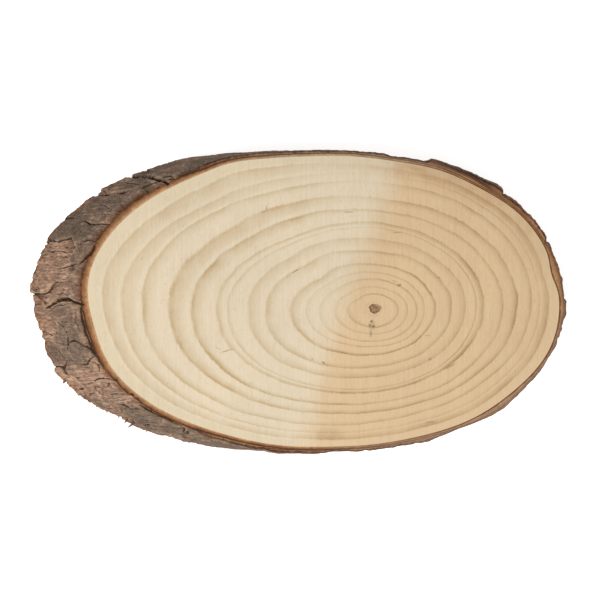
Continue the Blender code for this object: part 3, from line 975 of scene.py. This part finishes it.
def wood_material():
    """Pale sawn softwood: rings, a tan half, saw streaks, small marks and the brown pith."""
    s = Shader("pale_sawn_wood", 0.62, 0.35)
    streaks = s.cloud(s.mapped(s.mm, scale=(1.0, 22.0, 5.0)), 1.3, 3.0, 0.6)
    bands = s.cloud(s.mapped(s.mm, scale=(1.0, 6.0, 5.0)), 5.0, 3.0, 0.6)
    fine = s.cloud(s.mapped(s.mm, scale=(1.0, 6.0, 1.0)), 0.45, 2.0, 0.6)
    tan = s.plus(s.attribute("tan"), s.spread(s.cloud(s.mm, 9.0, 3.0), -0.10, 0.10))
    tan = s.plus(tan, s.spread(bands, -0.11, 0.11))
    tan = s.math("MINIMUM", s.math("MAXIMUM", tan, 0.0), 1.0)
    late = late_wood(s, streaks)
    colour = s.mix(late, s.mix(tan, "E6D4B6", "E0C095"), s.mix(tan, "C4A779", "AD895A"))
    browned = s.times(s.attribute("brown"), s.spread(s.cloud(s.mm, 7.0, 3.0), 0.25, 0.8))
    colour = s.mix(browned, colour, "B58C5E")
    rim = s.between(s.attribute("ring"), 14.05, 14.35, smooth=True)
    colour = s.mix(s.times(rim, s.between(tan, 0.0, 0.6, 0.7, 0.15)), colour, "DFCDAB")
    factor = s.plus(s.between(streaks, 0.25, 0.75, -0.045, 0.045), s.between(fine, 0.2, 0.8, -0.07, 0.07))
    factor = s.plus(factor, s.spread(s.cloud(s.mm, 28.0), 0.975, 1.025))
    colour = s.shade(colour, factor)
    specks = s.between(s.cloud(s.mapped(s.mm, scale=(1.0, 2.2, 1.0)), 0.7, 1.0), 0.70, 0.78)
    colour = s.mix(s.times(specks, 0.30), colour, "9A7A58")
    colour = s.mix(wood_marks(s), colour, "6E5138")
    pith = s.between(s.attribute("pith"), 0.15, 0.75, smooth=True)
    pith_colour = s.mix(s.between(s.cloud(s.mm, 1.1, 3.0), 0.38, 0.60), "86603F", "B28A62")
    colour = s.mix(pith, colour, pith_colour)
    normal = s.bump(s.plus(s.times(streaks, 0.6), s.times(fine, 0.5)), 0.10)
    normal = s.bump(late, 0.012, before=normal)
    return s.finish(colour, normal, s.between(fine, 0.2, 0.8, 0.56, 0.70))


def late_wood(s, streaks):
    """How dark the late wood is: it rises softly towards each ring's end and closes with a line."""
    late_share = s.attribute("late")
    count = s.plus(s.attribute("ring"), s.between(s.cloud(s.mm, 14.0), 0.0, 1.0, -0.27, 0.03))
    count = s.plus(count, s.between(s.cloud(s.mm, 1.2, 3.0, 0.7), 0.0, 1.0, -0.07, 0.07))
    count = s.plus(count, s.between(streaks, 0.0, 1.0, -0.06, 0.06))
    phase = s.math("FRACT", count)
    rise = s.between(phase, s.math("SUBTRACT", 1.0, late_share), 0.93)
    rise = s.math("POWER", rise, s.between(late_share, 0.5, 1.0, 1.3, 0.8))
    line = s.between(phase, 0.68, 0.90, smooth=True)
    line = s.times(line, s.between(late_share, 0.4, 0.9, 0.34, 0.12))
    closing = s.between(phase, s.between(late_share, 0.4, 1.0, 0.91, 0.82), 1.0, 1.0, 0.0, smooth=True)
    late = s.times(s.plus(s.times(rise, 0.66), line), closing)
    late = s.times(late, s.attribute("dark"))
    return s.times(late, s.spread(s.cloud(s.mm, 13.0, 4.0), 0.45, 1.20))


def wood_marks(s):
    """One mask for all the small marks of the upper face, with ragged edges."""
    ragged = s.warped(s.mm, 0.8, 0.7)
    total = None
    for x, y, half_length, half_width, turn, darkness in MARKS:
        place = s.mapped(
            ragged,
            location=(x, y, THICKNESS),
            rotation=(0.0, 0.0, math.radians(turn)),
            scale=(half_length, half_width, 3.0),
        )
        mark = s.between(s.vector("LENGTH", place)["Value"], 1.25, 0.35, 0.0, darkness, smooth=True)
        total = mark if total is None else s.math("MAXIMUM", total, mark)
    return s.times(total, s.between(s.cloud(s.mm, 0.6, 1.0), 0.3, 0.6, 0.5, 1.0))


def bark_material():
    """Bark: grey and reddish plates, painted shade in cracks and hollows, painted highlights on raised
    places, orange-brown inner bark and the layered cut of the rim.
    """
    s = Shader("rough_bark", 0.9, 0.1)
    trunk = s.mapped(s.mm, rotation=(0.0, LEAN, 0.0))
    along = s.mapped(trunk, scale=(1.0, 1.0, 3.0))
    grain = s.cloud(s.mm, 0.55, 3.0, 0.65)
    fibre = s.cloud(along, 0.8, 3.0, 0.6)
    fibres = s.spread(fibre)
    tone = s.plus(s.attribute("tone"), s.spread(s.cloud(s.mm, 4.5, 4.0, 0.6), -0.42, 0.25))
    tone = s.between(s.plus(tone, s.spread(fibre, -0.12, 0.12)), 0.1, 0.9)
    wall = plate_colour(s, tone, grain, fibres, along)
    wall = bared_colour(s, wall, fibres)
    cavity = s.attribute("cavity")
    # Painted highlight: places raised above their surroundings are lightened towards pale tan, more on the
    # reddish plates.
    raised_highlight = s.times(s.between(cavity, -0.03, -0.16), s.between(tone, 0.0, 1.0, 0.15, 0.5))
    wall = s.mix(raised_highlight, wall, "C8AA8C")
    # Painted shade: the wall is darkened towards near-black brown in cracks and in hollows below their
    # surroundings; hollow also holds the darkening towards the wall's lower edge.
    hollow = s.between(s.attribute("hollow"), 0.15, 0.75, 0.0, 0.6)
    dark = s.plus(s.between(cavity, 0.06, 0.28, 0.0, 0.75), hollow)
    wall = s.mix(s.math("MINIMUM", dark, 0.92), wall, "33241A")
    broad = s.spread(s.cloud(s.mm, 6.0, 3.0), 0.80, 1.16)
    wall = s.shade(wall, s.times(broad, s.between(grain, 0.25, 0.75, 0.86, 1.12)))
    colour = s.mix(s.attribute("cut"), wall, rim_colour(s, grain))
    return s.finish(colour, s.bump(s.plus(s.times(grain, 0.6), s.times(fibre, 0.7)), 0.45))


def plate_colour(s, tone, grain, fibres, along):
    """The plates: grey to reddish by their tone, with pale streaks."""
    grey = s.mix(s.between(grain, 0.30, 0.70), "4A3D32", "8A7463")
    plate = s.mix(tone, grey, s.mix(fibres, "7C5A47", "BD987F"))
    pale = s.between(s.cloud(along, 1.5, 3.0, 0.6), 0.54, 0.68)
    return s.mix(s.times(pale, s.between(tone, 0.0, 0.6, 0.22, 0.72)), plate, "CBAC94")


def bared_colour(s, colour, fibres):
    """The browner bark where it is thin, where it has flaked off and where its lower edge is torn."""
    low = s.between(s.attribute("layer"), 1.40, 1.10, smooth=True)
    colour = s.mix(s.times(low, 0.5), colour, s.mix(fibres, "64402B", "986A4A"))
    bare = s.plus(s.attribute("bare"), s.spread(s.cloud(s.mm, 5.0), -0.3, 0.3))
    bare = s.between(bare, 0.40, 0.90, 0.0, 0.6, smooth=True)
    colour = s.mix(bare, colour, s.mix(fibres, "5A3A27", "8A6043"))
    return s.mix(s.times(s.attribute("torn"), 0.7), colour, s.mix(fibres, "6E3E22", "AE764E"))


def rim_colour(s, grain):
    """Colours across the sawn rim: from the wood outwards, inner bark, its dark border and the outer bark."""
    pale = s.attribute("pale")
    shifted = s.math("DIVIDE", s.attribute("layer"), s.attribute("inner_end"))
    shifted = s.plus(shifted, s.spread(s.cloud(s.mm, 2.5, 3.0), -0.10, 0.10))
    reach = s.attribute("reach")
    outwards = s.node("CombineXYZ", {"X": s.math("DIVIDE", reach, 0.42)})["Vector"]
    across = s.vector("ADD", s.mapped(s.mm, scale=(9.0, 9.0, 3.0)), outwards)["Vector"]
    layers = s.cloud(across, 1.0, 3.0, 0.6)
    dark = s.mix(s.between(layers, 0.38, 0.62), "2E2019", "664B38")
    inner = rim_inner_colour(s, shifted, reach, pale)
    outer = rim_outer_colour(s, shifted, layers, grain, pale, dark)
    edge = s.plus(s.attribute("edge"), s.spread(s.cloud(s.mm, 2.0), -0.12, 0.12))
    edge = s.times(s.between(edge, 0.56, 0.84, smooth=True), s.between(pale, 0.0, 1.0, 0.95, 0.6))
    edge = s.times(edge, s.between(shifted, 0.90, 1.15))
    return s.mix(edge, s.mix(s.between(shifted, 0.85, 1.15), inner, outer), dark)


def rim_inner_colour(s, shifted, reach, pale):
    """The inner bark's cut: orange-brown, deeper outwards, with a dark border and a line along the wood."""
    near_line = s.attribute("line")
    colour = s.mix(s.between(shifted, 0.0, 0.35), "CFA77C", s.mix(near_line, "AA7850", "B5855B"))
    deep = s.times(s.between(shifted, 0.30, 0.85), s.between(near_line, 0.0, 1.0, 1.0, 0.6))
    colour = s.mix(deep, colour, "6E472E")
    colour = s.mix(s.times(s.attribute("top"), 0.75), colour, "BCA182")
    colour = s.mix(s.times(pale, 0.7), colour, "B08F74")
    border = s.math("ABSOLUTE", s.math("SUBTRACT", shifted, 0.92))
    border = s.times(s.between(border, 0.32, 0.10, 0.0, 0.8), s.between(pale, 0.0, 1.0, 1.0, 0.6))
    colour = s.mix(s.times(border, s.between(near_line, 0.0, 1.0, 1.0, 0.4)), colour, "4C2A18")
    colour = s.shade(colour, s.spread(s.cloud(s.mm, 6.0), 0.84, 1.12))
    colour = s.shade(colour, s.between(s.cloud(s.mm, 0.9), 0.25, 0.75, 0.84, 1.16))
    line = s.plus(reach, s.spread(s.cloud(s.mm, 3.0), -0.12, 0.12))
    line = s.times(s.between(line, 0.70, 0.40, smooth=True), near_line)
    return s.mix(s.times(line, 0.9), colour, "6E4421")


def rim_outer_colour(s, shifted, layers, grain, pale, dark):
    """The outer bark's cut: thin brown layers, dark on the bulge."""
    colour = s.mix(s.between(layers, 0.34, 0.64), "603C29", "B8855E")
    colour = s.mix(s.times(s.attribute("top"), 0.6), colour, "9C826A")
    colour = s.shade(colour, s.between(grain, 0.25, 0.75, 0.68, 1.24))
    colour = s.mix(s.times(pale, 0.65), colour, "B29178")
    return s.mix(s.times(s.attribute("bulge"), s.between(shifted, 1.2, 2.2, 0.0, 0.85)), colour, dark)


def splinter_material():
    """Splinters and scales: fibrous, in patches of reddish and greyish brown."""
    s = Shader("bark_fibres", 0.85, 0.1)
    trunk = s.mapped(s.mm, rotation=(0.0, LEAN, 0.0))
    fibre = s.cloud(s.mapped(trunk, scale=(1.0, 1.0, 3.0)), 0.5, 3.0, 0.6)
    fibres = s.spread(fibre)
    patch = s.between(s.cloud(s.mm, 6.0), 0.40, 0.60)
    colour = s.mix(patch, s.mix(fibres, "5F4330", "A98064"), s.mix(fibres, "54463A", "98836E"))
    return s.finish(colour, s.bump(fibre, 0.25))


def add_floor():
    """A plain pale floor under the slice."""
    bpy.ops.mesh.primitive_plane_add(size=FLOOR_SIZE, location=(0.0, 0.0, FLOOR_Z))
    floor = bpy.context.active_object
    floor.name = "floor"
    s = Shader("pale_floor", 0.9, 0.5)
    s.put(s.surface.inputs["Base Color"], (FLOOR_GREY, FLOOR_GREY, FLOOR_GREY, 1.0))
    s.put(s.surface.inputs["Emission Color"], (1.0, 1.0, 1.0, 1.0))
    s.put(s.surface.inputs["Emission Strength"], FLOOR_GLOW)
    floor.data.materials.append(s.material)


def add_light():
    """Even white surroundings with one large soft lamp above the lower left, aimed at the slice."""
    world = bpy.data.worlds.new("studio")
    world.use_nodes = True
    background = world.node_tree.nodes["Background"].inputs
    background["Color"].default_value = (1.0, 1.0, 1.0, 1.0)
    background["Strength"].default_value = SKY_STRENGTH
    bpy.context.scene.world = world
    lamp = bpy.data.lights.new("key", "AREA")
    lamp.size = LAMP_SIZE
    lamp.energy = LAMP_POWER
    made = new_object("key", lamp)
    made.location = LAMP_AT
    x, y, z = LAMP_AT
    made.rotation_euler = (math.atan2(math.hypot(x, y), z), 0.0, math.atan2(y, x) + math.pi / 2.0)


def add_camera():
    """Straight above the slice, as in the photo."""
    camera = bpy.data.cameras.new("camera")
    camera.lens = CAMERA_LENS
    camera.sensor_width = CAMERA_SENSOR
    made = new_object("camera", camera)
    made.location = CAMERA_AT
    bpy.context.scene.camera = made


def main():
    """Builds the three pieces, the stage, the light and the camera."""
    wood = make_wood()
    wood.data.materials.append(wood_material())
    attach(wood, "root")
    bark = make_bark()
    bark.data.materials.append(bark_material())
    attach(bark, "root")
    splinters = make_splinters()
    splinters.data.materials.append(splinter_material())
    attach(splinters, "root")
    add_floor()
    add_light()
    add_camera()
    bpy.context.scene.view_settings.view_transform = "Standard"


main()
